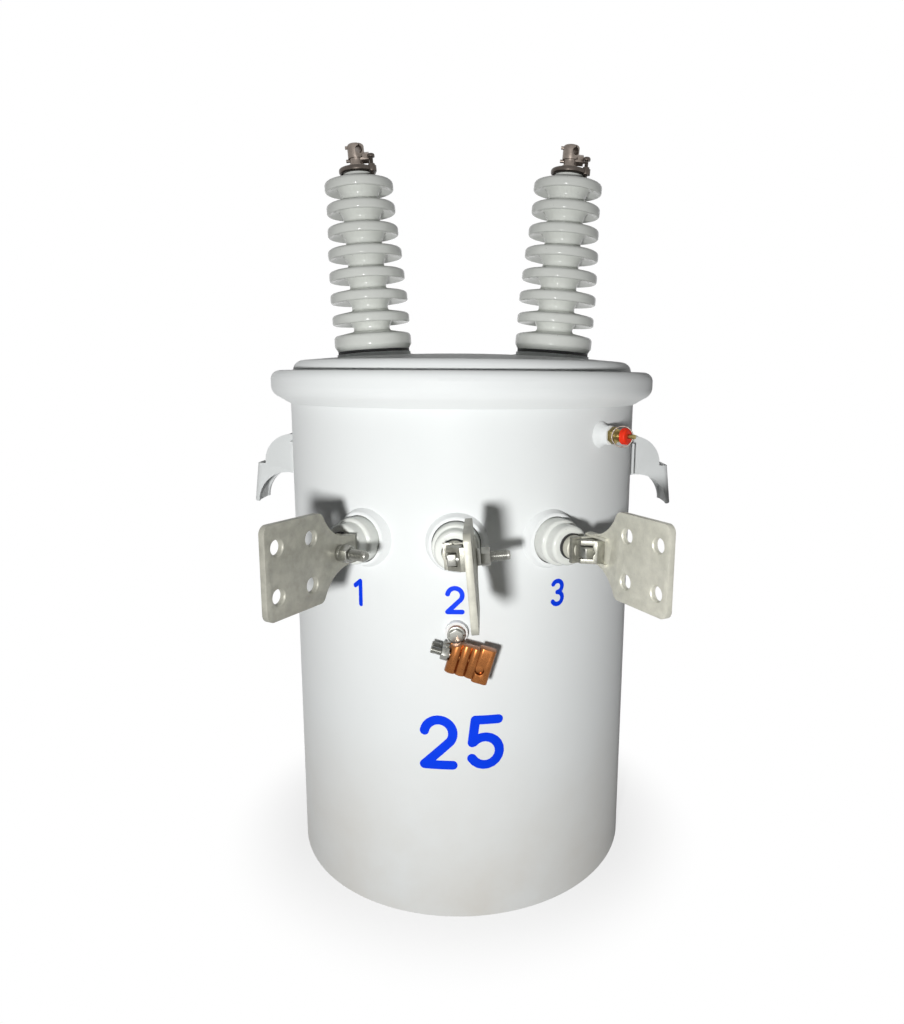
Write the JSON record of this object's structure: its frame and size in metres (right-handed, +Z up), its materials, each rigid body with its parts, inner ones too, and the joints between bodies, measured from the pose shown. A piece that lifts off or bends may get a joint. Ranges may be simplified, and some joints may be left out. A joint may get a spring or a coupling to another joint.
{
  "type": "pole-type single-phase distribution transformer",
  "caption": "Pole-type single-phase transformer: round painted tank, band-clamped domed cover, porcelain shed bushings on top and spade terminals on the front wall.",
  "frame": {"origin": "centre of the tank's lower edge, on the floor", "axes": "+Z up the tank's axis; -Y is the front, with the low-voltage spades; +X is to the right seen from the front"},
  "size_m": [0.5354, 0.6587, 0.8838],
  "materials": {
    "tank_paint": "gloss",
    "porcelain": "gloss",
    "gasket_rubber": "matte",
    "tinned_metal": "satin",
    "terminal_bronze": "satin",
    "bolt_steel": "satin",
    "copper": "satin",
    "valve_brass": "satin",
    "red_cap": "satin"
  },
  "bodies": {
    "transformer": {"tank_wall": "tank_paint", "tank_bottom": "tank_paint", "tank_cover": "tank_paint", "cover_band": "tank_paint", "lifting_lug_left": "tank_paint", "lifting_lug_right": "tank_paint", "valve_coupling": "tank_paint", "ground_boss": "tank_paint", "hanger_bracket_upper": "tank_paint", "hanger_bracket_lower": "tank_paint", "band_bolt": "bolt_steel", "ground_bolt": "bolt_steel", "ground_connector_bolts": "bolt_steel", "hv_bushing_left": "porcelain", "hv_gasket_left": "gasket_rubber", "hv_cap_left": "terminal_bronze", "hv_terminal_left": "terminal_bronze", "hv_clamp_screw_left": "bolt_steel", "hv_bushing_right": "porcelain", "hv_gasket_right": "gasket_rubber", "hv_cap_right": "terminal_bronze", "hv_terminal_right": "terminal_bronze", "hv_clamp_screw_right": "bolt_steel", "lv_bushing_left": "porcelain", "lv_gasket_left": "gasket_rubber", "lv_stud_left": "tinned_metal", "lv_spade_left": "tinned_metal", "lv_clamp_left": "tinned_metal", "lv_bolt_left": "bolt_steel", "lv_bushing_centre": "porcelain", "lv_gasket_centre": "gasket_rubber", "lv_stud_centre": "tinned_metal", "lv_spade_centre": "tinned_metal", "lv_clamp_centre": "tinned_metal", "lv_bolt_centre": "bolt_steel", "lv_bushing_right": "porcelain", "lv_gasket_right": "gasket_rubber", "lv_stud_right": "tinned_metal", "lv_spade_right": "tinned_metal", "lv_clamp_right": "tinned_metal", "lv_bolt_right": "bolt_steel", "valve_body": "valve_brass", "valve_cap": "red_cap", "ground_connector": "copper"},
    "relief_pull": {"valve_pin": "valve_brass", "valve_ring": "bolt_steel"}
  },
  "joints": [
    {"name": "relief_pull_slide", "type": "slide", "parent": "transformer", "child": "relief_pull", "axis": [0.7254, -0.6884, 0], "range_m": [0, 0.005], "stiffness_N_per_m": 400, "springref_m": -0.005}
  ]
}
